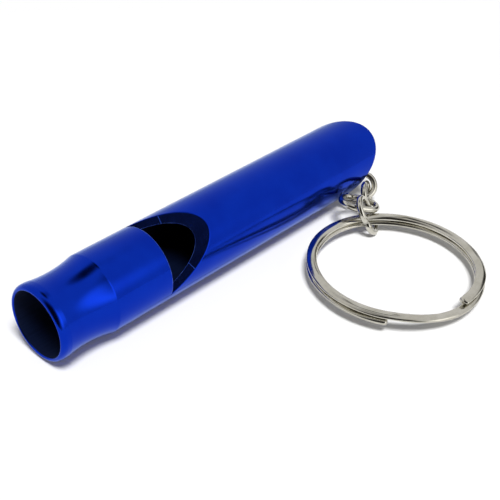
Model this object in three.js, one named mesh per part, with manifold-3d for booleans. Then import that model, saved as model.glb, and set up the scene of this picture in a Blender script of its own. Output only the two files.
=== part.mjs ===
// Aluminium tube whistle on a short chain with a split ring, lying on its side on a table.
// Millimetres, +Z up. The tube runs along +X from its mouth to its slanted tail.
// The split ring lies on its -Y side.
// The origin is on the table, under the middle of the whole object's box.

import * as THREE from 'three';
import { mergeVertices } from 'three/addons/utils/BufferGeometryUtils.js';
import Module from 'manifold-3d';

const wasm = await Module();
wasm.setup();

// Tube
const tubeDiameter = 11;
const tubeWall = 1;
const tubeLength = 60.4;
const tubeSides = 64;

// Mouthpiece: a rounded lip, then a waist that flares back to the full tube with a crisp edge
const lipDiameter = 10.4;
const lipRoundLength = 1.1;
const lipRoundMostShare = 0.9;
const waistDiameter = 9.94;
const waistFromLip = 4.2;
const neckLength = 8.5;
const lipSteps = 8;
const neckSteps = 14;

// Sound window: a square front wall and a ramp that rises to the tube's outside
const windowFromLip = 17.3;
const windowFloor = 1.5;
const windowRampAngle = 26.3;

// Tail: cut across at a slant, with its long side in line with the window
const tailCutAngle = 45;
const windowRoll = 35;

// Hole for the chain, in the wall beside the tail cut
const chainHoleDiameter = 2;
const chainHoleRoll = 127.6;
const chainHoleSetback = 1.35;
const chainHoleSides = 24;

// Plugs pressed into the bore
const plugClearance = 0.1;
const fippleFromLip = 6;
const windwayHeight = 1.4;
const stopperFromTip = 16.5;
const stopperLength = 3.5;
const stopperChamfer = 0.4;

// Chain: oval links of round wire
const linkLength = 6.5;
const linkWidth = 4.6;
const linkWire = 0.9;
const linkClearance = 0.13;
const linkSteps = 36;
const linkSides = 8;

// How each link lies, in degrees: heading from +X to +Y, pitch up from the table, roll about its long axis.
// Its wire crosses the wire of the link before it: on and seat are the crossing's places on the two loops,
// as shares of the way round, and side is 1 or -1 for the side it lies on.
const tailLinkLie = { heading: -21.1, pitch: 11, roll: -140.9 };
const secondLinkLie = { heading: 27.9, pitch: -23.1, roll: -106.5, on: 0.2395, seat: 0.1035, side: -1 };
const thirdLinkLie = { heading: 151.8, pitch: 15.7, roll: -176.3, on: 0.629, seat: 0.591, side: 1 };
const ringLinkLie = { heading: 131.4, pitch: 60, roll: -9.4, on: 0.7445, seat: 0.9025, side: 1 };

// Split ring: two turns of flattened wire, seen from above with angles from +X to +Y.
// Its top end is tucked in and its low end is spread out.
const ringDiameter = 24.6;
const ringWireWidth = 1.45;
const ringWireHeight = 0.8;
const ringTurnGap = 0.05;
const ringTopEnd = -89;
const ringTopTuck = 0.4;
const ringTuckArc = 40;
const ringLowEnd = -148;
const ringLowSpread = 0.2;
const ringSpreadArc = 50;
const ringStepsPerTurn = 52;
const ringEdgeSteps = 5;

// How the ring lies: linkAt is where the last link holds it. The link's spare room there is given in wires,
// lengthwise as slack and off its middle as aside.
const ringLie = { linkAt: 55.2, tiltX: 0.5, tiltY: 0.8, slack: 0.35, aside: -0.11 };

// Spare length past a face that a cutting body runs through
const cutMargin = 2;

const tubeRadius = tubeDiameter / 2;
const boreRadius = tubeRadius - tubeWall;
const plugRadius = boreRadius - plugClearance;
const { degToRad, smoothstep } = THREE.MathUtils;

const fullTurn = 360;

const anodisedBlue = { color: 0x0b2fb0, roughness: 0.25, metalness: 1 };
const blackPlastic = { color: 0x15161a, roughness: 0.6, metalness: 0 };
const nickelPlate = { color: 0xb9b7ab, roughness: 0.22, metalness: 1 };

function pieceOf(geometry, finish) {
  return new THREE.Mesh(geometry, new THREE.MeshStandardMaterial(finish));
}

// A solid from a closed three.js geometry
function solidOf(geometry) {
  const bare = geometry.clone();
  bare.deleteAttribute('normal');
  bare.deleteAttribute('uv');
  const merged = mergeVertices(bare);
  const vertProperties = Float32Array.from(merged.attributes.position.array);
  const triVerts = Uint32Array.from(merged.index.array);
  return new wasm.Manifold(new wasm.Mesh({ numProp: 3, vertProperties, triVerts }));
}

function geometryOf(solid) {
  const { vertProperties, triVerts } = solid.getMesh();
  const geometry = new THREE.BufferGeometry();
  geometry.setAttribute('position', new THREE.BufferAttribute(vertProperties, 3));
  geometry.setIndex(new THREE.BufferAttribute(triVerts, 1));
  geometry.computeVertexNormals();
  return geometry;
}

// Turns a shape drawn along +Y, as a lathe makes it, to run along +X
function alongTube(geometry) {
  return geometry.rotateZ(-Math.PI / 2);
}

// A prism wider than the tube. Its outline is drawn along the axis (x) and up towards the window (y).
function crosswisePrism(outline) {
  const width = tubeDiameter + 2 * cutMargin;
  const prism = new THREE.ExtrudeGeometry(new THREE.Shape(outline), { depth: width, bevelEnabled: false });
  prism.translate(0, 0, -width / 2);
  prism.rotateX(Math.PI / 2);
  return prism.rotateX(degToRad(windowRoll));
}

// How far along the axis the tail's cut lies, at a height above the axis on the window's side
function tailCutAt(height) {
  return tubeLength - (tubeRadius - height) / Math.tan(degToRad(tailCutAngle));
}

// The mouthpiece's half section and the plain tube behind it, as radius (x) and distance from the lip (y)
function tubeProfile() {
  const lipRadius = lipDiameter / 2;
  const waistRadius = waistDiameter / 2;
  const flare = neckLength - waistFromLip;
  const rise = tubeRadius - waistRadius;
  const neckArc = (flare * flare + rise * rise) / (2 * rise);
  const arcAngle = (radius) => Math.acos((neckArc - (radius - waistRadius)) / neckArc);
  const neckStart = waistFromLip - neckArc * Math.sin(arcAngle(lipRadius));
  const lipRound = Math.min(lipRoundLength, lipRoundMostShare * neckStart);
  const end = tubeLength + cutMargin;
  const lip = new THREE.EllipseCurve(
    boreRadius, lipRound, lipRadius - boreRadius, lipRound,
    1.5 * Math.PI, 2 * Math.PI,
  );
  const neck = new THREE.EllipseCurve(
    waistRadius + neckArc, waistFromLip, neckArc, neckArc,
    Math.PI + arcAngle(lipRadius), Math.PI - arcAngle(tubeRadius), true,
  );
  const outline = [
    ...lip.getPoints(lipSteps),
    ...neck.getPoints(neckSteps),
    new THREE.Vector2(tubeRadius, end),
    new THREE.Vector2(boreRadius, end),
  ];
  return [...outline, outline[0]];
}

function windowCutter() {
  const top = tubeRadius + cutMargin;
  const rampLength = (top - windowFloor) / Math.tan(degToRad(windowRampAngle));
  return crosswisePrism([
    new THREE.Vector2(windowFromLip, windowFloor),
    new THREE.Vector2(windowFromLip + rampLength, top),
    new THREE.Vector2(windowFromLip, top),
  ]);
}

function tailCutter() {
  const reach = tubeRadius + cutMargin;
  const past = tailCutAt(reach) + cutMargin;
  return crosswisePrism([
    new THREE.Vector2(tailCutAt(-reach), -reach),
    new THREE.Vector2(past, -reach),
    new THREE.Vector2(past, reach),
    new THREE.Vector2(tailCutAt(reach), reach),
  ]);
}

// The chain hole's outward direction and its middle, halfway through the wall
const holeAngle = degToRad(chainHoleRoll);
const holeOutward = new THREE.Vector3(0, -Math.sin(holeAngle), Math.cos(holeAngle));
const holeEdgeHeight = tubeRadius * Math.cos(degToRad(chainHoleRoll - windowRoll));
const holeMiddle = new THREE.Vector3(tailCutAt(holeEdgeHeight) - chainHoleSetback, 0, 0)
  .addScaledVector(holeOutward, tubeRadius - tubeWall / 2);

function chainHoleCutter() {
  const radius = chainHoleDiameter / 2;
  const drill = new THREE.CylinderGeometry(radius, radius, tubeWall + 2 * cutMargin, chainHoleSides);
  drill.rotateX(Math.PI / 2 + holeAngle);
  return drill.translate(holeMiddle.x, holeMiddle.y, holeMiddle.z);
}

function whistleBody() {
  const tube = alongTube(new THREE.LatheGeometry(tubeProfile(), tubeSides));
  const body = solidOf(tube)
    .subtract(solidOf(windowCutter()))
    .subtract(solidOf(tailCutter()))
    .subtract(solidOf(chainHoleCutter()));
  return pieceOf(geometryOf(body), anodisedBlue);
}

// A round plug with a flat on the window's side, which leaves the windway between itself and the bore
function fippleBlock() {
  const flatHeight = boreRadius - windwayHeight;
  const flatAngle = Math.acos(flatHeight / plugRadius);
  const section = new THREE.Shape();
  section.absarc(0, 0, plugRadius, flatAngle, 2 * Math.PI - flatAngle, false);
  section.closePath();
  const depth = windowFromLip - fippleFromLip;
  const block = new THREE.ExtrudeGeometry(section, { depth, bevelEnabled: false, curveSegments: tubeSides });
  block.rotateY(Math.PI / 2);
  block.rotateX(Math.PI + degToRad(windowRoll));
  block.translate(fippleFromLip, 0, 0);
  return pieceOf(block, blackPlastic);
}

function endStopper() {
  const profile = [
    new THREE.Vector2(0, 0),
    new THREE.Vector2(plugRadius - stopperChamfer, 0),
    new THREE.Vector2(plugRadius, stopperChamfer),
    new THREE.Vector2(plugRadius, stopperLength - stopperChamfer),
    new THREE.Vector2(plugRadius - stopperChamfer, stopperLength),
    new THREE.Vector2(0, stopperLength),
  ];
  const plug = alongTube(new THREE.LatheGeometry(profile, tubeSides));
  plug.translate(tubeLength - stopperFromTip, 0, 0);
  return pieceOf(plug, blackPlastic);
}

// The centre line of a link: two half circles joined by straight sides, long way along X
class OvalLoop extends THREE.Curve {
  constructor(length, width) {
    super();
    this.bend = width / 2;
    this.side = length - width;
  }

  getPoint(t, target = new THREE.Vector3()) {
    const { bend, side } = this;
    const arc = Math.PI * bend;
    const along = (t % 1) * 2 * (arc + side);
    const firstHalf = along < arc + side;
    const part = firstHalf ? along : along - arc - side;
    const angle = Math.min(part, arc) / bend - Math.PI / 2;
    const straight = Math.max(part - arc, 0);
    target.set(side / 2 + bend * Math.cos(angle) - straight, bend * Math.sin(angle), 0);
    return firstHalf ? target : target.negate();
  }
}

const loopLength = linkLength - linkWire;
const loop = new OvalLoop(loopLength, linkWidth - linkWire);

// A link turned as it lies, still at the origin
function chainLink(lie) {
  const wire = new THREE.TubeGeometry(loop, linkSteps, linkWire / 2, linkSides, true);
  const link = pieceOf(wire, nickelPlate);
  link.rotation.set(degToRad(lie.roll), degToRad(-lie.pitch), degToRad(lie.heading), 'ZYX');
  return link;
}

// A link's own direction, or a place on it, as the assembly sees it
function turned(link, vector) {
  return vector.clone().applyQuaternion(link.quaternion);
}

function placed(link, vector) {
  return turned(link, vector).add(link.position);
}

const lengthwise = new THREE.Vector3(1, 0, 0);
const sideways = new THREE.Vector3(0, 1, 0);
const nearTip = new THREE.Vector3(-loopLength / 2, 0, 0);

// First link: its near end turns in the hole
function tailLink() {
  const link = chainLink(tailLinkLie);
  link.position.copy(holeMiddle).sub(turned(link, nearTip));
  return link;
}

// A later link: its wire crosses the wire of the link before it, a clearance apart
function linkedTo(before, lie) {
  const link = chainLink(lie);
  const across = turned(before, loop.getTangent(lie.on))
    .cross(turned(link, loop.getTangent(lie.seat)))
    .setLength(linkWire + linkClearance);
  const crossing = placed(before, loop.getPoint(lie.on)).addScaledVector(across, lie.side);
  link.position.copy(crossing).sub(turned(link, loop.getPoint(lie.seat)));
  return link;
}

const ringMeanRadius = (ringDiameter - ringWireWidth) / 2;
const ringPitch = ringWireHeight + ringTurnGap;
const ringWireEdge = ringWireHeight / 2;
const ringFlat = ringWireWidth / 2 - ringWireEdge;

// How far the pair of turns reaches from its middle, over its rounded corners
const ringReach = Math.hypot(ringFlat, ringPitch / 2) + ringWireEdge;

// The flattened wire's section: straight faces with half-round edges
function ringWireSection() {
  const section = new THREE.Path();
  section.absarc(ringFlat, 0, ringWireEdge, -Math.PI / 2, Math.PI / 2, false);
  section.absarc(-ringFlat, 0, ringWireEdge, Math.PI / 2, 1.5 * Math.PI, false);
  return section.getPoints(ringEdgeSteps).slice(0, -1);
}

// The coil starts at its top end and goes round on top, steps down where only one turn lies, and ends below
function splitRingCoil() {
  const section = ringWireSection();
  const single = ringTopEnd - ringLowEnd;
  const sweep = 2 * fullTurn - single;
  const steps = Math.round(ringStepsPerTurn * sweep / fullTurn);
  const positions = [];
  for (let i = 0; i <= steps; i++) {
    const turn = sweep * i / steps;
    const down = smoothstep(turn, fullTurn - single, fullTurn);
    const tuck = ringTopTuck * (1 - smoothstep(turn, 0, ringTuckArc));
    const spread = ringLowSpread * smoothstep(turn, sweep - ringSpreadArc, sweep);
    const height = (0.5 - down) * ringPitch;
    const angle = degToRad(ringTopEnd + turn);
    for (const { x, y } of section) {
      const radius = ringMeanRadius - tuck + spread + x;
      positions.push(radius * Math.cos(angle), radius * Math.sin(angle), height + y);
    }
  }
  const around = section.length;
  const faces = [];
  for (let i = 0; i < steps; i++) {
    for (let j = 0; j < around; j++) {
      const a = i * around + j;
      const b = i * around + (j + 1) % around;
      faces.push(a, b + around, b, a, a + around, b + around);
    }
  }
  const last = steps * around;
  for (let j = 1; j < around - 1; j++) {
    faces.push(0, j, j + 1);
    faces.push(last, last + j + 1, last + j);
  }
  const coil = new THREE.BufferGeometry();
  coil.setAttribute('position', new THREE.Float32BufferAttribute(positions, 3));
  coil.setIndex(faces);
  coil.computeVertexNormals();
  return coil;
}

// The ring lies nearly flat, lifted a little where the last link passes under it
function splitRing(last) {
  const lie = ringLie;
  const ring = pieceOf(splitRingCoil(), nickelPlate);
  ring.rotation.set(degToRad(lie.tiltX), degToRad(lie.tiltY), 0);
  const bearing = linkWire / 2 + ringReach + linkClearance;
  const throughLink = placed(last, nearTip)
    .addScaledVector(turned(last, lengthwise), bearing + lie.slack * linkWire)
    .addScaledVector(turned(last, sideways), lie.aside * linkWire);
  const linkAt = degToRad(lie.linkAt);
  const wireThere = new THREE.Vector3(Math.cos(linkAt), Math.sin(linkAt), 0).multiplyScalar(ringMeanRadius);
  ring.position.copy(throughLink).sub(turned(ring, wireThere));
  return ring;
}

const first = tailLink();
const second = linkedTo(first, secondLinkLie);
const third = linkedTo(second, thirdLinkLie);
const fourth = linkedTo(third, ringLinkLie);
const pieces = {
  whistle_body: whistleBody(),
  fipple_block: fippleBlock(),
  end_stopper: endStopper(),
  tail_link: first,
  second_link: second,
  third_link: third,
  ring_link: fourth,
  split_ring: splitRing(fourth),
};

const whistle = new THREE.Group();
for (const [name, piece] of Object.entries(pieces)) {
  piece.name = name;
  whistle.add(piece);
}

// Stand the object on the table with the middle of its box over the origin
const box = new THREE.Box3().setFromObject(whistle, true);
const middle = box.getCenter(new THREE.Vector3());
whistle.position.set(-middle.x, -middle.y, -box.min.z);

export default whistle;
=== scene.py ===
"""Looks of a blue tube whistle with its chain and split ring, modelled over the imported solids."""

import math

import bpy
from bpy.props import FloatProperty, FloatVectorProperty, IntProperty, PointerProperty
from mathutils import Matrix, Vector


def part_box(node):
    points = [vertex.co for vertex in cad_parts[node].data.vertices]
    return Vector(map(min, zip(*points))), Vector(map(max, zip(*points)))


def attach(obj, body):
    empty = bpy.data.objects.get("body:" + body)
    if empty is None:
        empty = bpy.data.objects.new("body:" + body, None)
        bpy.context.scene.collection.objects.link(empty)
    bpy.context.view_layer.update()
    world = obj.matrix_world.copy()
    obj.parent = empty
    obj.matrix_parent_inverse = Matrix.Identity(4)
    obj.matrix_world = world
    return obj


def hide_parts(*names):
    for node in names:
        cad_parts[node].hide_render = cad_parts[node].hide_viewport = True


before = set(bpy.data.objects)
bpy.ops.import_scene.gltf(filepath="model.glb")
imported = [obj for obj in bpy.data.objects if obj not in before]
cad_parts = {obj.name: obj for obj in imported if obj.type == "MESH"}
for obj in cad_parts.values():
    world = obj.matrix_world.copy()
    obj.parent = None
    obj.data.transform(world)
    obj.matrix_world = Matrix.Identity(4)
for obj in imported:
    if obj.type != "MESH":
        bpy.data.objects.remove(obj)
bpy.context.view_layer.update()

bl_info = {
    "name": "Tube Whistle",
    "version": (1, 0, 0),
    "blender": (4, 5, 0),
    "location": "View3D > Sidebar > Whistle",
    "description": "Models a turned aluminium whistle with its plugs, chain, split ring and stage",
    "category": "Object",
}

MM = 0.001
MERGE_DISTANCE = 0.002 * MM

LINK_NAMES = ("tail_link", "second_link", "third_link", "ring_link")
PLUG_NAMES = ("fipple_block", "end_stopper")

BODY_LOW, BODY_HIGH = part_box("whistle_body")
AXIS_Y = (BODY_LOW.y + BODY_HIGH.y) / 2
AXIS_Z = (BODY_LOW.z + BODY_HIGH.z) / 2
LIP_CENTRE = Vector((BODY_LOW.x, AXIS_Y, AXIS_Z))
ALONG = Vector((1, 0, 0))
FULL_TURN = 2 * math.pi
QUARTER_TURN = math.pi / 2


def number(name, description, value, unit="NONE"):
    return FloatProperty(name=name, description=description, default=value, unit=unit)


def length(name, description, millimetres):
    return FloatProperty(
        name=name, description=description, default=millimetres * MM, unit="LENGTH", precision=5
    )


def angle(name, description, degrees):
    return FloatProperty(
        name=name, description=description, default=math.radians(degrees), subtype="ANGLE"
    )


def turn(name, description, degrees):
    return FloatVectorProperty(
        name=name,
        description=description,
        default=[math.radians(value) for value in degrees],
        size=3,
        subtype="EULER",
        unit="ROTATION",
    )


def point(name, description, millimetres):
    return FloatVectorProperty(
        name=name,
        description=description,
        default=[value * MM for value in millimetres],
        size=3,
        subtype="TRANSLATION",
        unit="LENGTH",
        precision=5,
    )


def direction(name, description, value):
    return FloatVectorProperty(
        name=name, description=description, default=value, size=3, subtype="DIRECTION"
    )


def colour(name, description, value):
    return FloatVectorProperty(
        name=name, description=description, default=value, size=3, subtype="COLOR", min=0, max=1
    )


class TubeSettings(bpy.types.PropertyGroup):
    """Sizes of the turned and cut tube"""

    diameter: length("Diameter", "Outside diameter of the tube", 11)
    wall: length("Wall", "Thickness of the tube's wall", 1)
    reach: length("Length", "Length from the lip to the tip of the tail", 60.4)
    lip_diameter: length("Lip diameter", "Outside diameter of the lip", 10.4)
    lip_round: length("Lip round", "Length of the round from the lip's crest to its outside", 0.85)
    mouth_round: length("Mouth round", "Width of the round from the bore to the lip's crest", 0.18)
    mouth_depth: length("Mouth depth", "Depth of the round from the bore to the lip's crest", 0.25)
    waist_diameter: length("Waist diameter", "Smallest diameter behind the lip", 9.94)
    waist_from_lip: length("Waist from lip", "Distance from the lip to the waist", 4.2)
    neck_length: length("Neck length", "Distance from the lip to the full tube", 8.5)
    window_from_lip: length("Window from lip", "Distance from the lip to the window's wall", 17.3)
    window_floor: length("Window floor", "Height of the ramp's foot above the axis", 1.5)
    window_ramp: angle("Window ramp", "Slope of the ramp behind the window", 26.3)
    tool_mark: length("Tool mark", "Distance up the ramp from its foot to the tool mark", 3.49)
    tool_mark_slant: angle("Tool mark slant", "How far the tool mark runs askew", 10.95)
    tool_mark_width: length("Tool mark width", "Width of the tool mark", 0.09)
    window_roll: angle("Window roll", "How far the window is rolled towards the ring", 35)
    tail_cut: angle("Tail cut", "Slope of the cut across the tail", 45)
    hole_diameter: length("Hole diameter", "Diameter of the chain's hole", 2)
    hole_roll: angle("Hole roll", "Place of the chain's hole around the tube", 127.6)
    hole_setback: length("Hole setback", "Distance from the tail cut to the hole's middle", 1.35)
    edge_break: length("Edge break", "Width of the broken edges", 0.09)
    sides: IntProperty(name="Sides", description="Faces around the tube", default=192, min=48)
    finish: colour("Finish", "Dyed aluminium", (0.0035, 0.03, 0.43))
    deep_finish: colour("Deep finish", "Dyed aluminium where the dye is deeper", (0.003, 0.024, 0.38))
    grazing_tint: colour("Grazing tint", "Tint seen along the dyed surface", (0.75, 0.86, 0.96))
    milled_finish: colour("Milled finish", "Dyed aluminium on the cut faces", (0.02, 0.05, 0.33))
    # painted highlight: this bright blue lights the window's broken edges, on top of partly rubbed
    # dye
    edge_wear_and_highlight: colour("Edge finish", "Dyed aluminium on the rubbed edges", (0.16, 0.3, 0.95))
    mark_finish: colour("Mark finish", "Aluminium on the tool mark", (0.05, 0.15, 0.85))
    # painted shade: the bore colour is kept near black to stand in for the shade inside the tube
    bore_painted_shade: colour("Bore finish", "Dull aluminium inside the tube", (0.007, 0.014, 0.052))


class ChainSettings(bpy.types.PropertyGroup):
    """Sizes of the four oval links and how each one lies"""

    link_length: length("Link length", "Outside length of a link", 6.5)
    link_width: length("Link width", "Outside width of a link", 4.6)
    wire: length("Wire", "Diameter of the link's wire", 0.9)
    seam: length("Seam", "Width of the butt seam in a link's side", 0.07)
    seam_depth: length("Seam depth", "Depth of the butt seam", 0.1)
    tail_link: turn("First link", "Turn of the link in the tube's hole", (-140.9, -11, -21.1))
    second_link: turn("Second link", "Turn of the second link", (-106.5, 23.1, 27.9))
    third_link: turn("Third link", "Turn of the third link", (-176.3, -15.7, 151.8))
    ring_link: turn("Last link", "Turn of the link on the split ring", (-9.4, -60, 131.4))
    finish: colour("Finish", "Nickel plate", (0.62, 0.60, 0.54))
    dull_finish: colour("Dull finish", "Nickel plate where it is handled", (0.47, 0.45, 0.38))


class RingSettings(bpy.types.PropertyGroup):
    """Sizes of the split ring and how it lies"""

    diameter: length("Diameter", "Outside diameter of the ring", 24.6)
    wire_width: length("Wire width", "Width of the flattened wire", 1.45)
    wire_height: length("Wire height", "Height of the flattened wire", 0.8)
    turn_gap: length("Turn gap", "Gap between the two turns", 0.05)
    top_end: angle("Top end", "Where the upper turn starts", -92)
    top_tuck: length("Top tuck", "How far the upper end is tucked in", 0.4)
    tuck_arc: angle("Tuck arc", "Length of the part that is tucked in", 40)
    low_end: angle("Low end", "Where the lower turn ends", -148)
    low_spread: length("Low spread", "How far the lower end stands out", 0.2)
    spread_arc: angle("Spread arc", "Length of the part that stands out", 50)
    end_round: length("End round", "Length of the rounding at the wire's ends", 0.5)
    centre: point("Centre", "Middle of the ring", (14.75, -6.8239, 2.0359))
    tilt: turn("Tilt", "How far the ring leans", (0.5, 0.8, 0))
    finish: colour("Finish", "Nickel plate", (0.60, 0.58, 0.52))
    dull_finish: colour("Dull finish", "Nickel plate where keys rub it", (0.44, 0.42, 0.35))


class PlugSettings(bpy.types.PropertyGroup):
    """Finish of the two plugs inside the tube"""

    finish: colour("Finish", "Moulded black plastic", (0.03, 0.032, 0.04))
    worn_finish: colour("Worn finish", "Moulded plastic where it is rubbed", (0.045, 0.047, 0.055))


class StageSettings(bpy.types.PropertyGroup):
    """Camera, floor and light"""

    camera_place: point("Camera place", "Place from the floor under the lip", (-52.29, -80.7, 84.69))
    camera_turn: turn("Camera turn", "Where the camera looks", (54.254, -2.042, -46.646))
    lens: number("Lens", "Focal length", 73.24, unit="CAMERA")
    floor_size: length("Floor size", "Side of the floor", 4000)
    floor_colour: colour("Floor colour", "Pale floor", (0.85, 0.85, 0.85))
    floor_lift: number("Floor lift", "White that the camera and the metal see on the floor", 0.06)
    room_colour: colour("Room colour", "Pale walls all around", (0.86, 0.86, 0.87))
    dark_colour: colour("Dark colour", "The unlit parts of the room", (0.03, 0.028, 0.026))
    dark_side: direction("Dark side", "Unlit side behind the camera", (-0.6044, -0.542, 0.5838))
    dark_reach: angle("Dark reach", "Half width of the unlit side", 40)
    dark_fade: angle("Dark fade", "Half width of the fade at its edge", 16)
    overhead: direction("Overhead", "The unlit patch over the object", (0.23, 0.24, 0.94))
    overhead_reach: angle("Overhead reach", "Half width of the unlit patch", 11)
    overhead_fade: angle("Overhead fade", "Half width of the fade at its edge", 6)
    corner: direction("Corner", "The unlit corner beyond the tail", (0.99, -0.12, 0.1))
    corner_reach: angle("Corner reach", "Half width of the unlit corner", 22)
    corner_fade: angle("Corner fade", "Half width of the fade at its edge", 8)
    bright_colour: colour("Bright colour", "The bright patch of the room", (1, 1, 1))
    bright_side: direction("Bright side", "The bright patch of the room", (0.08, -0.85, 0.5))
    bright_reach: angle("Bright reach", "Half width of the bright patch", 20)
    bright_fade: angle("Bright fade", "Half width of the fade at its edge", 12)
    bright_strength: number("Bright strength", "Light of the bright patch", 2.3)
    room_share: number("Room share", "The room's part in the soft light", 0.25)
    key_place: point("Key place", "Middle of the soft lamp", (-450, -700, 1800))
    key_size: length("Key size", "Side of the soft lamp", 560)
    key_power: number("Key power", "Power of the soft lamp", 44.5, unit="POWER")


def deselect_all():
    bpy.ops.object.select_all(action="DESELECT")


def start_as_point(name):
    """A new piece in edit mode, drawn in to one vertex at the origin."""
    deselect_all()
    bpy.ops.mesh.primitive_plane_add(size=MM, enter_editmode=True)
    bpy.ops.mesh.merge(type="CENTER")
    piece = bpy.context.object
    piece.name = name
    piece.data.name = name
    return piece


def extrude_by(step):
    bpy.ops.mesh.extrude_region_move(TRANSFORM_OT_translate={"value": step})


def merge_all():
    """Selects the whole mesh and merges the vertices that meet."""
    bpy.ops.mesh.select_all(action="SELECT")
    bpy.ops.mesh.remove_doubles(threshold=MERGE_DISTANCE)


def draw_outline(points):
    """Extrudes the lone vertex through the points and back to the first."""
    bpy.ops.transform.translate(value=points[0])
    for here, there in zip(points, points[1:] + points[:1]):
        extrude_by(there - here)
    merge_all()


def close_skin(cap_sides=0):
    """Merges the seam of a swept skin, caps its open ends and turns its faces outwards."""
    merge_all()
    if cap_sides:
        bpy.ops.mesh.fill_holes(sides=cap_sides)
    bpy.ops.mesh.normals_make_consistent(inside=False)


def leave_edit_mode():
    bpy.ops.object.mode_set(mode="OBJECT")


def apply_place():
    """Moves the active piece's place and turn into its mesh."""
    bpy.ops.object.transform_apply(location=True, rotation=True, scale=True)


def make_active(piece):
    deselect_all()
    piece.select_set(True)
    bpy.context.view_layer.objects.active = piece


def cut_with(piece, cutter):
    """Takes the cutter out of the piece and deletes the cutter."""
    make_active(piece)
    bpy.ops.object.modifier_add(type="BOOLEAN")
    cut = piece.modifiers[-1]
    cut.operation = "DIFFERENCE"
    cut.solver = "EXACT"
    cut.object = cutter
    bpy.ops.object.modifier_apply(modifier=cut.name)
    make_active(cutter)
    bpy.ops.object.delete()


def soften_normals(piece):
    """Smooth faces whose shading follows the broad faces next to the broken edges."""
    make_active(piece)
    bpy.ops.object.shade_smooth()
    bpy.ops.object.modifier_add(type="WEIGHTED_NORMAL")
    bpy.ops.object.modifier_apply(modifier=piece.modifiers[-1].name)


def give_finish(piece, *materials):
    piece.data.materials.clear()
    for material in materials:
        piece.data.materials.append(material)


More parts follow.
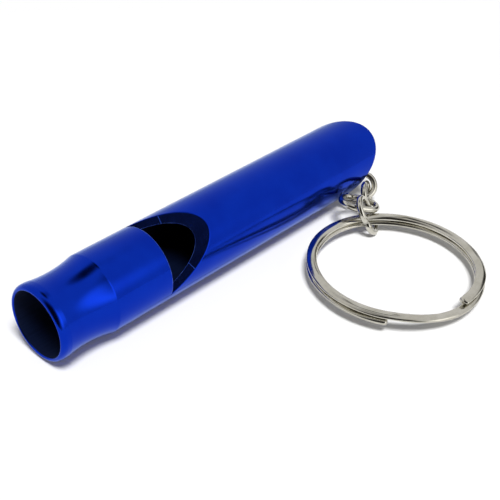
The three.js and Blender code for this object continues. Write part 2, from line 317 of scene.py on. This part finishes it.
class Finish:
    """A node material whose patterns all read the piece's own place."""

    def __init__(self, name, metallic=0.0):
        self.material = bpy.data.materials.new(name)
        self.material.use_nodes = True
        self.nodes = self.material.node_tree.nodes
        self.links = self.material.node_tree.links
        self.shader = self.nodes["Principled BSDF"]
        self.shader.inputs["Metallic"].default_value = metallic
        self.place = self.nodes.new("ShaderNodeTexCoord").outputs["Object"]

    def grain(self, size, stretch=(1, 1, 1), detail=3.0, roughness=0.5):
        """Noise whose grains are about size millimetres wide, stretched along the three axes."""
        mapping = self.nodes.new("ShaderNodeMapping")
        mapping.inputs["Scale"].default_value = [1 / (size * MM * value) for value in stretch]
        noise = self.nodes.new("ShaderNodeTexNoise")
        noise.inputs["Scale"].default_value = 1.0
        noise.inputs["Detail"].default_value = detail
        noise.inputs["Roughness"].default_value = roughness
        self.links.new(self.place, mapping.inputs["Vector"])
        self.links.new(mapping.outputs["Vector"], noise.inputs["Vector"])
        return noise.outputs["Fac"]

    def streaks(self, centre, along, across, detail):
        """Noise drawn out around an upright axis, as in wire that was rolled flat and wound."""
        per_length = 1 / (along * MM)
        per_width = 1 / (across * MM)
        coarse = self.nodes.new("ShaderNodeMapping")
        coarse.inputs["Scale"].default_value = (per_length, per_length, per_width)
        fine = self.nodes.new("ShaderNodeMapping")
        fine.inputs["Location"].default_value = (-centre[0] * per_width, -centre[1] * per_width, 0)
        fine.inputs["Scale"].default_value = (per_width, per_width, 0)
        outwards = self.nodes.new("ShaderNodeVectorMath")
        outwards.operation = "LENGTH"
        noise = self.nodes.new("ShaderNodeTexNoise")
        noise.noise_dimensions = "4D"
        noise.inputs["Scale"].default_value = 1.0
        noise.inputs["Detail"].default_value = detail
        self.links.new(self.place, coarse.inputs["Vector"])
        self.links.new(self.place, fine.inputs["Vector"])
        self.links.new(fine.outputs["Vector"], outwards.inputs[0])
        self.links.new(coarse.outputs["Vector"], noise.inputs["Vector"])
        self.links.new(outwards.outputs["Value"], noise.inputs["W"])
        return noise.outputs["Fac"]

    def between(self, pattern, low=0.0, high=1.0, from_low=0.3, from_high=0.7):
        """Spreads the middle of a pattern over the numbers from low to high."""
        spread = self.nodes.new("ShaderNodeMapRange")
        spread.inputs["From Min"].default_value = from_low
        spread.inputs["From Max"].default_value = from_high
        spread.inputs["To Min"].default_value = low
        spread.inputs["To Max"].default_value = high
        self.links.new(pattern, spread.inputs["Value"])
        return spread.outputs["Result"]

    def blend(self, pattern, first, second):
        """A colour between two, by a pattern. The first may be another blend."""
        mix = self.nodes.new("ShaderNodeMix")
        mix.data_type = "RGBA"
        mix.inputs["B"].default_value = (*second, 1)
        if isinstance(first, bpy.types.NodeSocket):
            self.links.new(first, mix.inputs["A"])
        else:
            mix.inputs["A"].default_value = (*first, 1)
        self.links.new(pattern, mix.inputs["Factor"])
        return mix.outputs["Result"]

    def measured(self, origin, way):
        """How far the shaded place lies from an origin, along a way."""
        from_origin = self.nodes.new("ShaderNodeVectorMath")
        from_origin.operation = "SUBTRACT"
        from_origin.inputs[1].default_value = origin
        reach = self.nodes.new("ShaderNodeVectorMath")
        reach.operation = "DOT_PRODUCT"
        reach.inputs[1].default_value = way
        self.links.new(self.place, from_origin.inputs[0])
        self.links.new(from_origin.outputs["Vector"], reach.inputs[0])
        return reach.outputs["Value"]

    def hair_line(self, origin, along, sideways, width):
        """A pattern that is 1 on a line that slants alike to both sides of an origin, else 0."""
        mirrored = self.nodes.new("ShaderNodeMath")
        mirrored.operation = "ABSOLUTE"
        self.links.new(self.measured(origin, sideways), mirrored.inputs[0])
        near = self.nodes.new("ShaderNodeMath")
        near.operation = "COMPARE"
        near.inputs[2].default_value = width / 2
        self.links.new(self.measured(origin, along), near.inputs[0])
        self.links.new(mirrored.outputs["Value"], near.inputs[1])
        return near.outputs["Value"]

    def added(self, pattern, share, base):
        """A number raised by a share of a pattern."""
        adding = self.nodes.new("ShaderNodeMath")
        adding.operation = "MULTIPLY_ADD"
        adding.inputs[1].default_value = share
        self.links.new(pattern, adding.inputs[0])
        self.links.new(base, adding.inputs[2])
        return adding.outputs["Value"]

    def colour_from(self, socket):
        self.links.new(socket, self.shader.inputs["Base Color"])

    def roughness_from(self, socket):
        self.links.new(socket, self.shader.inputs["Roughness"])

    def relief_from(self, socket, depth, strength):
        """Raises the surface by a pattern, by up to depth millimetres."""
        bump = self.nodes.new("ShaderNodeBump")
        bump.inputs["Strength"].default_value = strength
        bump.inputs["Distance"].default_value = depth * MM
        self.links.new(socket, bump.inputs["Height"])
        self.links.new(bump.outputs["Normal"], self.shader.inputs["Normal"])


MILLED_SHADE = 0.9
MARK_ROUGHNESS = 0.25
DRAWN_SHADE = 0.8


def shaded(base_colour, shade):
    return [shade * value for value in base_colour]


def anodised_aluminium(tube):
    """Blue dyed aluminium with faint turning lines."""
    finish = Finish("anodised_aluminium", metallic=1.0)
    finish.shader.inputs["Specular Tint"].default_value = (*tube.grazing_tint, 1)
    dye = finish.between(finish.grain(size=4.0, detail=4.0))
    finish.colour_from(finish.blend(dye, tube.finish, tube.deep_finish))
    finish.roughness_from(finish.between(finish.grain(size=1.5, detail=5.0), low=0.14, high=0.2))
    turning_lines = finish.grain(size=0.12, stretch=(1, 40, 40), detail=2.0)
    finish.relief_from(turning_lines, depth=0.002, strength=0.06)
    return finish.material


def milled_aluminium(tube):
    """Dyed aluminium on the flat cuts, with the cutter's lines and one rough tool mark."""
    finish = Finish("milled_aluminium", metallic=1.0)
    cutter_lines = finish.grain(size=0.25, stretch=(1, 12, 12), detail=2.0)
    lined = finish.blend(
        finish.between(cutter_lines), tube.milled_finish, shaded(tube.milled_finish, MILLED_SHADE)
    )
    mark = finish.hair_line(*tool_mark_line(tube), tube.tool_mark_width)
    finish.colour_from(finish.blend(mark, lined, tube.mark_finish))
    polish = finish.between(finish.grain(size=1.5), low=0.22, high=0.28)
    finish.roughness_from(finish.added(mark, MARK_ROUGHNESS, polish))
    finish.relief_from(cutter_lines, depth=0.002, strength=0.05)
    return finish.material


def rubbed_aluminium(tube):
    """Edges where the dye is partly rubbed off, made brighter still as a painted highlight along the
    window's edges.
    """
    finish = Finish("rubbed_aluminium", metallic=1.0)
    rubbed = finish.between(finish.grain(size=0.8, detail=4.0))
    # painted highlight: the edges blend towards a bright blue that stands in for light caught along
    # them
    finish.colour_from(finish.blend(rubbed, tube.finish, tube.edge_wear_and_highlight))
    finish.roughness_from(finish.between(finish.grain(size=0.5), low=0.3, high=0.45))
    return finish.material


def drawn_aluminium(tube):
    """The dull bore, with lines along it from drawing the tube, in a near-black blue that paints in
    the shade inside the tube.
    """
    finish = Finish("drawn_aluminium", metallic=0.6)
    drawing_lines = finish.grain(size=0.3, stretch=(20, 1, 1))
    # the near-black bore colour is painted shade
    lined = finish.blend(
        finish.between(drawing_lines), tube.bore_painted_shade, shaded(tube.bore_painted_shade, DRAWN_SHADE)
    )
    finish.colour_from(lined)
    finish.roughness_from(finish.between(drawing_lines, low=0.55, high=0.7))
    finish.relief_from(drawing_lines, depth=0.003, strength=0.1)
    return finish.material


def nickel_plate(name, settings, dull_patch):
    """Bright nickel with dull patches, as a finish that still lacks its relief."""
    finish = Finish(name, metallic=1.0)
    handled = finish.between(finish.grain(size=dull_patch, detail=5.0, roughness=0.6))
    finish.colour_from(finish.blend(handled, settings.finish, settings.dull_finish))
    finish.roughness_from(finish.between(finish.grain(size=0.8, detail=6.0), low=0.1, high=0.2))
    return finish


def link_plate(chain):
    """Nickel over slightly uneven round wire."""
    finish = nickel_plate("nickel_link", chain, dull_patch=2.0)
    finish.relief_from(finish.grain(size=0.5), depth=0.012, strength=0.25)
    return finish.material


def ring_plate(ring):
    """Nickel over wire with the long waves of rolling and winding."""
    finish = nickel_plate("nickel_ring", ring, dull_patch=3.0)
    waves = finish.streaks(ring.centre, along=7.0, across=0.8, detail=0.8)
    finish.relief_from(waves, depth=0.36, strength=1.0)
    return finish.material


def moulded_plastic(plugs):
    """Black plastic with a fine moulded grain and rubbed patches."""
    finish = Finish("moulded_plastic")
    rubbed = finish.between(finish.grain(size=1.2, detail=5.0), from_low=0.45, from_high=0.75)
    finish.colour_from(finish.blend(rubbed, plugs.finish, plugs.worn_finish))
    finish.roughness_from(finish.between(finish.grain(size=0.7, detail=4.0), low=0.5, high=0.65))
    finish.relief_from(finish.grain(size=0.12), depth=0.01, strength=0.3)
    return finish.material


MOUTH_STEPS = 20
LIP_STEPS = 30
NECK_STEPS = 36
CUT_MARGIN = 2 * MM
HOLE_SIDES = 48
BREAK_SEGMENTS = 3
ROUND_PROFILE = 0.5
SHARPEST_ROUND = math.radians(8.5)
FLAT_CUT = 0.9999
BORE_MARGIN = 0.02 * MM
ANODISED, MILLED, RUBBED_AND_HIGHLIT, DRAWN_PAINTED_SHADE = range(4)


def tube_half_section(tube):
    """The wall's outline from the bore round the lip to the far end, as (from the lip, radius)."""
    radius = tube.diameter / 2
    bore = radius - tube.wall
    lip_radius = tube.lip_diameter / 2
    waist = tube.waist_diameter / 2
    flare = tube.neck_length - tube.waist_from_lip
    rise = radius - waist
    arc = (flare ** 2 + rise ** 2) / (2 * rise)
    arc_start = math.acos(1 - (lip_radius - waist) / arc)
    arc_end = -math.acos(1 - rise / arc)
    crest = bore + tube.mouth_round
    outline = []
    for step in range(MOUTH_STEPS):
        around = QUARTER_TURN * step / MOUTH_STEPS
        out = tube.mouth_round * (1 - math.cos(around))
        outline.append((tube.mouth_depth * (1 - math.sin(around)), bore + out))
    for step in range(LIP_STEPS + 1):
        around = QUARTER_TURN * step / LIP_STEPS
        out = (lip_radius - crest) * math.sin(around)
        outline.append((tube.lip_round * (1 - math.cos(around)), crest + out))
    for step in range(NECK_STEPS + 1):
        lean = arc_start + (arc_end - arc_start) * step / NECK_STEPS
        out = arc * (1 - math.cos(lean))
        outline.append((tube.waist_from_lip - arc * math.sin(lean), waist + out))
    far_end = tube.reach + CUT_MARGIN
    return outline + [(far_end, radius), (far_end, bore)]


def window_upwards(tube):
    """Direction from the axis to the middle of the window."""
    return Vector((0, -math.sin(tube.window_roll), math.cos(tube.window_roll)))


def tool_mark_line(tube):
    """The middle of the ramp's tool mark, and the mark's shares of the ways uphill and sideways."""
    upwards = window_upwards(tube)
    uphill = ALONG * math.cos(tube.window_ramp) + upwards * math.sin(tube.window_ramp)
    foot = LIP_CENTRE + ALONG * tube.window_from_lip + upwards * tube.window_floor
    middle = foot + uphill * tube.tool_mark
    slant = tube.tool_mark_slant
    return middle, uphill * math.cos(slant), upwards.cross(ALONG) * math.sin(slant)


def crosswise_prism(name, outline, tube):
    """A cutting prism across the tube, from its outline as (from the lip, above the axis)."""
    upwards = window_upwards(tube)
    across = upwards.cross(ALONG)
    width = tube.diameter + 2 * CUT_MARGIN
    corners = [
        LIP_CENTRE + ALONG * from_lip + upwards * height - across * width / 2
        for from_lip, height in outline
    ]
    cutter = start_as_point(name)
    draw_outline(corners)
    bpy.ops.mesh.edge_face_add()
    extrude_by(across * width)
    close_skin()
    leave_edit_mode()
    return cutter


def tail_cut_at(tube, height):
    """How far from the lip the tail's cut lies, at a height above the axis."""
    return tube.reach - (tube.diameter / 2 - height) / math.tan(tube.tail_cut)


def window_cutter(tube):
    """The wedge between the window's upright wall and its ramp."""
    top = tube.diameter / 2 + CUT_MARGIN
    ramp = (top - tube.window_floor) / math.tan(tube.window_ramp)
    foot = tube.window_from_lip
    outline = [(foot, tube.window_floor), (foot + ramp, top), (foot, top)]
    return crosswise_prism("window_cutter", outline, tube)


def tail_cutter(tube):
    """All that lies past the tail's slanted cut."""
    reach = tube.diameter / 2 + CUT_MARGIN
    low_cut = tail_cut_at(tube, -reach)
    high_cut = tail_cut_at(tube, reach)
    past = high_cut + CUT_MARGIN
    outline = [(low_cut, -reach), (past, -reach), (past, reach), (high_cut, reach)]
    return crosswise_prism("tail_cutter", outline, tube)


def hole_cutter(tube):
    """The drill for the chain's hole, square to the tube's wall."""
    outwards = Vector((0, -math.sin(tube.hole_roll), math.cos(tube.hole_roll)))
    radius = tube.diameter / 2
    edge_height = radius * math.cos(tube.hole_roll - tube.window_roll)
    from_lip = tail_cut_at(tube, edge_height) - tube.hole_setback
    middle = LIP_CENTRE + ALONG * from_lip + outwards * (radius - tube.wall / 2)
    deselect_all()
    bpy.ops.mesh.primitive_cylinder_add(
        vertices=HOLE_SIDES,
        radius=tube.hole_diameter / 2,
        depth=tube.wall + 2 * CUT_MARGIN,
        location=middle,
        rotation=outwards.to_track_quat("Z", "Y").to_euler(),
    )
    return bpy.context.object


def break_edges(piece, width):
    """Bevels every edge that is sharper than the rounded parts, and gives it the rubbed finish with
    its painted highlight.
    """
    make_active(piece)
    bpy.ops.object.mode_set(mode="EDIT")
    bpy.ops.mesh.select_mode(type="EDGE")
    bpy.ops.mesh.select_all(action="DESELECT")
    bpy.ops.mesh.edges_select_sharp(sharpness=SHARPEST_ROUND)
    bpy.ops.mesh.bevel(
        offset=width, segments=BREAK_SEGMENTS, profile=ROUND_PROFILE, affect="EDGES"
    )
    piece.active_material_index = RUBBED_AND_HIGHLIT
    bpy.ops.object.material_slot_assign()
    bpy.ops.mesh.select_all(action="DESELECT")
    bpy.ops.mesh.select_mode(type="VERT")
    leave_edit_mode()


def mark_faces(piece, tube):
    """Gives the cut faces their finish and the bore its near-black colour of painted shade, and keeps
    the rubbed finish with its painted highlight on the edges of the window alone.
    """
    upwards = window_upwards(tube)
    ramp = upwards * math.cos(tube.window_ramp) - ALONG * math.sin(tube.window_ramp)
    tail = ALONG * math.sin(tube.tail_cut) - upwards * math.cos(tube.tail_cut)
    bore = tube.diameter / 2 - tube.wall + BORE_MARGIN
    burr = bore + 2 * tube.edge_break
    window_start = tube.window_from_lip
    tail_start = tail_cut_at(tube, -tube.diameter / 2) - CUT_MARGIN
    for face in piece.data.polygons:
        from_lip = face.center - LIP_CENTRE
        out = from_lip.yz.length
        at_wall = abs(from_lip.x - window_start) < 2 * tube.edge_break
        at_burr = window_start < from_lip.x < tail_start and out <= burr
        if any(face.normal.dot(way) > FLAT_CUT for way in (ramp, tail, ALONG)):
            face.material_index = MILLED
        # the rubbed finish with its painted highlight stays only on the window's wall and the burr
        # line
        elif face.material_index == RUBBED_AND_HIGHLIT:
            if not (at_wall or at_burr):
                face.material_index = ANODISED
        # faces inside the bore get the near-black colour of painted shade
        elif out < bore:
            face.material_index = DRAWN_PAINTED_SHADE


class WHISTLE_OT_tube(bpy.types.Operator):
    """Turn the tube from its half section, cut its window, tail and hole, and break its edges"""

    bl_idname = "whistle.tube"
    bl_label = "Tube"

    def execute(self, context):
        tube = context.scene.whistle_tube
        half_section = [
            LIP_CENTRE + Vector((from_lip, 0, radius))
            for from_lip, radius in tube_half_section(tube)
        ]
        piece = start_as_point("turned_tube")
        draw_outline(half_section)
        bpy.ops.mesh.spin(steps=tube.sides, angle=FULL_TURN, center=LIP_CENTRE, axis=ALONG)
        close_skin()
        leave_edit_mode()
        for cutter in (window_cutter(tube), tail_cutter(tube), hole_cutter(tube)):
            cut_with(piece, cutter)
        give_finish(
            piece,
            anodised_aluminium(tube), milled_aluminium(tube),
            rubbed_aluminium(tube), drawn_aluminium(tube),
        )
        break_edges(piece, tube.edge_break)
        mark_faces(piece, tube)
        soften_normals(piece)
        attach(piece, "whistle")
        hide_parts("whistle_body")
        return {"FINISHED"}


class WHISTLE_OT_plugs(bpy.types.Operator):
    """Give the fipple block and the end stopper their moulded plastic"""

    bl_idname = "whistle.plugs"
    bl_label = "Plugs"

    def execute(self, context):
        plastic = moulded_plastic(context.scene.whistle_plugs)
        for name in PLUG_NAMES:
            give_finish(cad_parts[name], plastic)
        return {"FINISHED"}


WIRE_SIDES = 28
BEND_STEPS = 32
DOWN = Vector((0, 0, -1))


def resize_section(factor, centre):
    """Makes the selected wire section larger or smaller about its middle."""
    bpy.ops.transform.resize(value=(factor, factor, factor), center_override=centre)


def bend_link(centre):
    """Sweeps the selected wire section half a turn round a link's end."""
    bpy.ops.mesh.spin(steps=BEND_STEPS, angle=FULL_TURN / 2, center=centre, axis=DOWN)


def model_link(chain):
    """One oval link at the origin, long way along X, with a butt seam in the middle of one side."""
    bend = (chain.link_width - chain.wire) / 2
    side = chain.link_length - chain.link_width
    deselect_all()
    bpy.ops.mesh.primitive_circle_add(
        vertices=WIRE_SIDES,
        radius=chain.wire / 2,
        location=(side / 2, -bend, 0),
        rotation=(0, QUARTER_TURN, 0),
        enter_editmode=True,
    )
    link = bpy.context.object
    bpy.ops.mesh.select_all(action="SELECT")
    bend_link((side / 2, 0, 0))
    narrow = 1 - 2 * chain.seam_depth / chain.wire
    half_seam = chain.seam / 2
    extrude_by(Vector((half_seam - side / 2, 0, 0)))
    extrude_by(Vector((-half_seam / 2, 0, 0)))
    resize_section(narrow, (half_seam / 2, bend, 0))
    extrude_by(Vector((-half_seam, 0, 0)))
    extrude_by(Vector((-half_seam / 2, 0, 0)))
    resize_section(1 / narrow, (-half_seam, bend, 0))
    extrude_by(Vector((half_seam - side / 2, 0, 0)))
    bend_link((-side / 2, 0, 0))
    extrude_by(Vector((side, 0, 0)))
    close_skin()
    leave_edit_mode()
    apply_place()
    soften_normals(link)
    return link


def middle_of(node):
    low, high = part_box(node)
    return (low + high) / 2


class WHISTLE_OT_chain(bpy.types.Operator):
    """Model one oval link and lay four copies of it from the tube's hole to the split ring"""

    bl_idname = "whistle.chain"
    bl_label = "Chain"

    def execute(self, context):
        chain = context.scene.whistle_chain
        plate = link_plate(chain)
        pattern = model_link(chain)
        for name in LINK_NAMES:
            make_active(pattern)
            bpy.ops.object.duplicate(linked=False)
            link = bpy.context.object
            link.name = link.data.name = "wire_" + name
            link.rotation_euler = getattr(chain, name)
            link.location = middle_of(name)
            apply_place()
            give_finish(link, plate)
            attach(link, name)
            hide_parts(name)
        make_active(pattern)
        bpy.ops.object.delete()
        return {"FINISHED"}


SECTION_STEPS = 28
SECTION_FULLNESS = 2.05
TURN_STEPS = 150
STEP_DOWN_STEPS = 40
END_STEPS = 30
TIP_STEPS = 8
TIP_SHARE = 0.35


def ease(share):
    """A share of a move that starts and stops gently."""
    return share * share * (3 - 2 * share)


def eased_shares(steps):
    """The part of an eased move that falls to each of its steps."""
    marks = [ease(step / steps) for step in range(steps + 1)]
    return [after - before for before, after in zip(marks, marks[1:])]


def flattened(value):
    """A cosine or sine drawn out towards a fuller curve."""
    return math.copysign(abs(value) ** (2 / SECTION_FULLNESS), value)


def flat_wire_section(ring):
    """The flattened wire's outline with crowned faces and round edges, as (outwards, up)."""
    outline = []
    for step in range(SECTION_STEPS):
        around = FULL_TURN * step / SECTION_STEPS
        outwards = ring.wire_width / 2 * flattened(math.cos(around))
        outline.append((outwards, ring.wire_height / 2 * flattened(math.sin(around))))
    return outline


def outwards_at(heading):
    return Vector((math.cos(heading), math.sin(heading), 0))


def spin_wire(sweep, steps):
    """Sweeps the selected wire section on, anticlockwise seen from above."""
    bpy.ops.mesh.spin(steps=steps, angle=sweep, center=(0, 0, 0), axis=DOWN)


def bend_wire(start, sweep, out):
    """Sweeps the selected wire section on while it eases outwards."""
    for step, share in enumerate(eased_shares(END_STEPS), start=1):
        spin_wire(sweep / END_STEPS, 1)
        heading = start + sweep * step / END_STEPS
        bpy.ops.transform.translate(value=outwards_at(heading) * out * share)


def lower_wire(sweep, drop):
    """Sweeps the selected wire section on while it eases down."""
    for share in eased_shares(STEP_DOWN_STEPS):
        spin_wire(sweep / STEP_DOWN_STEPS, 1)
        bpy.ops.transform.translate(value=DOWN * drop * share)


def tip_size(share):
    """The wire's size on its way from its blunt tip to its full section."""
    return TIP_SHARE + (1 - TIP_SHARE) * math.sqrt(1 - (1 - share) ** 2)


def round_wire_end(start, sweep, radius, height, sizes):
    """Sweeps the selected wire section on while it swells from a tip or draws in to one."""
    for step in range(TIP_STEPS):
        spin_wire(sweep / TIP_STEPS, 1)
        heading = start + sweep * (step + 1) / TIP_STEPS
        centre = outwards_at(heading) * radius - DOWN * height
        resize_section(sizes[step + 1] / sizes[step], centre)


def wind_ring(ring):
    """The ring about the origin, wound from the tip on top to the tip below."""
    mean_radius = (ring.diameter - ring.wire_width) / 2
    top_radius = mean_radius - ring.top_tuck
    low_radius = mean_radius + ring.low_spread
    pitch = ring.wire_height + ring.turn_gap
    single = ring.top_end - ring.low_end
    tip_turn = ring.end_round / mean_radius
    sizes = [tip_size(step / TIP_STEPS) for step in range(TIP_STEPS + 1)]
    to_start = Matrix.Rotation(ring.top_end, 3, "Z")
    tip = [
        to_start @ Vector((top_radius + outwards * sizes[0], 0, pitch / 2 + up * sizes[0]))
        for outwards, up in flat_wire_section(ring)
    ]
    piece = start_as_point("flat_wire_ring")
    draw_outline(tip)
    round_wire_end(ring.top_end, tip_turn, top_radius, pitch / 2, sizes)
    bend_wire(ring.top_end + tip_turn, ring.tuck_arc - tip_turn, ring.top_tuck)
    spin_wire(FULL_TURN - single - ring.tuck_arc, TURN_STEPS)
    lower_wire(single, pitch)
    spin_wire(FULL_TURN - single - ring.spread_arc, TURN_STEPS)
    bend_wire(ring.low_end - ring.spread_arc, ring.spread_arc - tip_turn, ring.low_spread)
    round_wire_end(ring.low_end - tip_turn, tip_turn, low_radius, -pitch / 2, sizes[::-1])
    close_skin(cap_sides=SECTION_STEPS)
    leave_edit_mode()
    return piece


class WHISTLE_OT_split_ring(bpy.types.Operator):
    """Wind the split ring from flat wire: a turn on top, a step down, a turn below"""

    bl_idname = "whistle.split_ring"
    bl_label = "Split ring"

    def execute(self, context):
        ring = context.scene.whistle_ring
        piece = wind_ring(ring)
        piece.rotation_mode = "ZYX"
        piece.rotation_euler = ring.tilt
        piece.location = ring.centre
        apply_place()
        give_finish(piece, ring_plate(ring))
        soften_normals(piece)
        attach(piece, "split_ring")
        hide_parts("split_ring")
        return {"FINISHED"}


def seen_or_lit(tree, seen_value, lit_value):
    """A number with one value as the camera and the metal see it, and another for soft light."""
    rays = tree.nodes.new("ShaderNodeLightPath")
    seen = rays.outputs["Is Camera Ray"]
    for name in ("Is Glossy Ray", "Is Transmission Ray"):
        adding = tree.nodes.new("ShaderNodeMath")
        adding.operation = "MAXIMUM"
        tree.links.new(seen, adding.inputs[0])
        tree.links.new(rays.outputs[name], adding.inputs[1])
        seen = adding.outputs[0]
    choice = tree.nodes.new("ShaderNodeMapRange")
    choice.inputs["To Min"].default_value = lit_value
    choice.inputs["To Max"].default_value = seen_value
    tree.links.new(seen, choice.inputs["Value"])
    return choice.outputs["Result"]


def floor_finish(stage):
    """A pale floor that the camera and the metal see as white where no shadow falls."""
    material = bpy.data.materials.new("pale_floor")
    material.use_nodes = True
    tree = material.node_tree
    shader = tree.nodes["Principled BSDF"]
    shader.inputs["Base Color"].default_value = (*stage.floor_colour, 1)
    shader.inputs["Roughness"].default_value = 1.0
    shader.inputs["Specular IOR Level"].default_value = 0.0
    shader.inputs["Emission Color"].default_value = (1, 1, 1, 1)
    lift = seen_or_lit(tree, stage.floor_lift, 0)
    tree.links.new(lift, shader.inputs["Emission Strength"])
    return material


class Room:
    """The world's light: pale walls all around, with soft patches in some directions."""

    def __init__(self, wall_colour, soft_share):
        world = bpy.data.worlds.new("room")
        bpy.context.scene.world = world
        world.use_nodes = True
        self.nodes = world.node_tree.nodes
        self.links = world.node_tree.links
        self.background = self.nodes["Background"]
        strength = seen_or_lit(world.node_tree, 1, soft_share)
        self.links.new(strength, self.background.inputs["Strength"])
        self.way = self.nodes.new("ShaderNodeTexCoord").outputs["Generated"]
        self.wall = self.nodes.new("ShaderNodeRGB").outputs["Color"]
        self.wall.default_value = (*wall_colour, 1)

    def add_patch(self, towards, reach, fade, patch_colour, strength=1.0):
        """Paints a round patch with a soft edge over the walls."""
        nearness = self.nodes.new("ShaderNodeVectorMath")
        nearness.operation = "DOT_PRODUCT"
        nearness.inputs[1].default_value = Vector(towards).normalized()
        edge = self.nodes.new("ShaderNodeMapRange")
        edge.interpolation_type = "SMOOTHSTEP"
        edge.inputs["From Min"].default_value = math.cos(reach + fade)
        edge.inputs["From Max"].default_value = math.cos(max(reach - fade, 0))
        mix = self.nodes.new("ShaderNodeMix")
        mix.data_type = "RGBA"
        mix.inputs["B"].default_value = (*(strength * value for value in patch_colour), 1)
        self.links.new(self.way, nearness.inputs[0])
        self.links.new(nearness.outputs["Value"], edge.inputs["Value"])
        self.links.new(edge.outputs["Result"], mix.inputs["Factor"])
        self.links.new(self.wall, mix.inputs["A"])
        self.links.new(mix.outputs["Result"], self.background.inputs["Color"])
        self.wall = mix.outputs["Result"]


def room_light(stage):
    """Pale walls with one bright patch and three unlit ones, which the metal mirrors."""
    room = Room(stage.room_colour, stage.room_share)
    room.add_patch(
        stage.bright_side, stage.bright_reach, stage.bright_fade,
        stage.bright_colour, stage.bright_strength,
    )
    room.add_patch(stage.dark_side, stage.dark_reach, stage.dark_fade, stage.dark_colour)
    room.add_patch(stage.overhead, stage.overhead_reach, stage.overhead_fade, stage.dark_colour)
    room.add_patch(stage.corner, stage.corner_reach, stage.corner_fade, stage.dark_colour)


def lay_floor(stage):
    deselect_all()
    bpy.ops.mesh.primitive_plane_add(size=stage.floor_size)
    floor = bpy.context.object
    floor.name = "floor"
    give_finish(floor, floor_finish(stage))


def hang_lamp(stage):
    """One soft lamp that faces the object and isn't mirrored in it."""
    place = Vector(stage.key_place)
    facing = (-place).to_track_quat("-Z", "Y").to_euler()
    bpy.ops.object.light_add(type="AREA", location=place, rotation=facing)
    lamp = bpy.context.object
    lamp.visible_glossy = False
    lamp.data.size = stage.key_size
    lamp.data.energy = stage.key_power


def stand_camera(stage):
    under_lip = Vector((LIP_CENTRE.x, LIP_CENTRE.y, 0))
    stand = under_lip + Vector(stage.camera_place)
    bpy.ops.object.camera_add(location=stand, rotation=stage.camera_turn)
    camera = bpy.context.object
    camera.data.lens = stage.lens
    camera.data.clip_start = MM
    bpy.context.scene.camera = camera


class WHISTLE_OT_stage(bpy.types.Operator):
    """Lay the pale floor, light the room and stand the camera"""

    bl_idname = "whistle.stage"
    bl_label = "Stage"

    def execute(self, context):
        stage = context.scene.whistle_stage
        context.scene.view_settings.view_transform = "Standard"
        lay_floor(stage)
        room_light(stage)
        hang_lamp(stage)
        stand_camera(stage)
        return {"FINISHED"}


class WHISTLE_PT_panel(bpy.types.Panel):
    """Lists the whistle's sizes, colours and operators"""

    bl_idname = "WHISTLE_PT_panel"
    bl_label = "Tube Whistle"
    bl_space_type = "VIEW_3D"
    bl_region_type = "UI"
    bl_category = "Whistle"

    def draw(self, context):
        for operator, settings in OPERATORS:
            box = self.layout.box()
            box.operator(operator.bl_idname)
            group = getattr(context.scene, settings)
            for name in group.__annotations__:
                box.prop(group, name)


GROUPS = {
    "whistle_tube": TubeSettings,
    "whistle_plugs": PlugSettings,
    "whistle_chain": ChainSettings,
    "whistle_ring": RingSettings,
    "whistle_stage": StageSettings,
}

OPERATORS = (
    (WHISTLE_OT_tube, "whistle_tube"),
    (WHISTLE_OT_plugs, "whistle_plugs"),
    (WHISTLE_OT_chain, "whistle_chain"),
    (WHISTLE_OT_split_ring, "whistle_ring"),
    (WHISTLE_OT_stage, "whistle_stage"),
)

CLASSES = (*GROUPS.values(), *(operator for operator, _ in OPERATORS), WHISTLE_PT_panel)


def register():
    for cls in CLASSES:
        bpy.utils.register_class(cls)
    for name, group in GROUPS.items():
        setattr(bpy.types.Scene, name, PointerProperty(type=group))


def unregister():
    for name in GROUPS:
        delattr(bpy.types.Scene, name)
    for cls in reversed(CLASSES):
        bpy.utils.unregister_class(cls)


def main():
    register()
    bpy.ops.whistle.tube()
    bpy.ops.whistle.plugs()
    bpy.ops.whistle.chain()
    bpy.ops.whistle.split_ring()
    bpy.ops.whistle.stage()


if __name__ == "__main__":
    main()
